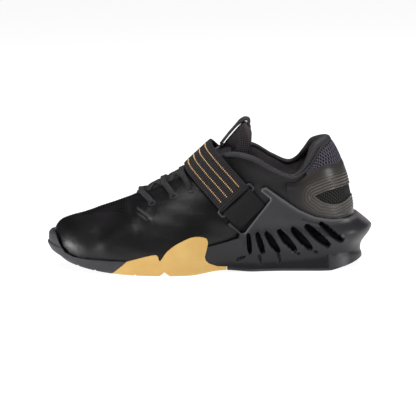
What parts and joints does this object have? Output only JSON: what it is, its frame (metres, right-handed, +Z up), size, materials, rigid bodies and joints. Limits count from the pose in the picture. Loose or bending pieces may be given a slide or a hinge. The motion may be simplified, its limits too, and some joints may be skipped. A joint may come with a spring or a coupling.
{
  "type": "weightlifting shoe",
  "caption": "Low-cut weightlifting shoe for the left foot with a raised sculpted heel cage, gold forefoot rubber, laces and an instep strap.",
  "frame": {"origin": "on the floor under the middle of the heel's flat tread", "axes": "+X towards the heel, -X towards the toe, -Y towards the outer side, +Z up"},
  "size_m": [0.305, 0.1062, 0.1406],
  "materials": {
    "upper_leather": "smooth black leather over a padded lining",
    "tongue_mesh": "padded black mesh with leather edges",
    "insole_cloth": "plain dark cloth over foam",
    "black_rubber": "matte black rubber",
    "gold_rubber": "matte gold rubber",
    "heel_cage": "satin black moulded cage",
    "strap_web": "black elastic webbing with gold stitch lines",
    "tab_web": "plain dark webbing",
    "ring_plastic": "dark grey moulded loop",
    "lace_cord": "black braided lace",
    "heel_film": "thin ridged film with a mesh window",
    "collar_band": "smooth grey binding",
    "loop_tape": "black tape"
  },
  "bodies": {
    "root": {"upper": "upper_leather", "tongue": "tongue_mesh", "insole": "insole_cloth", "toe_rubber": "black_rubber", "forefoot_rubber": "gold_rubber", "midsole": "heel_cage", "heel_rubber": "black_rubber", "strap": "strap_web", "strap_tab": "tab_web", "strap_ring": "ring_plastic", "laces": "lace_cord", "heel_film": "heel_film", "collar_band": "collar_band", "pull_loop": "loop_tape"}
  },
  "joints": []
}
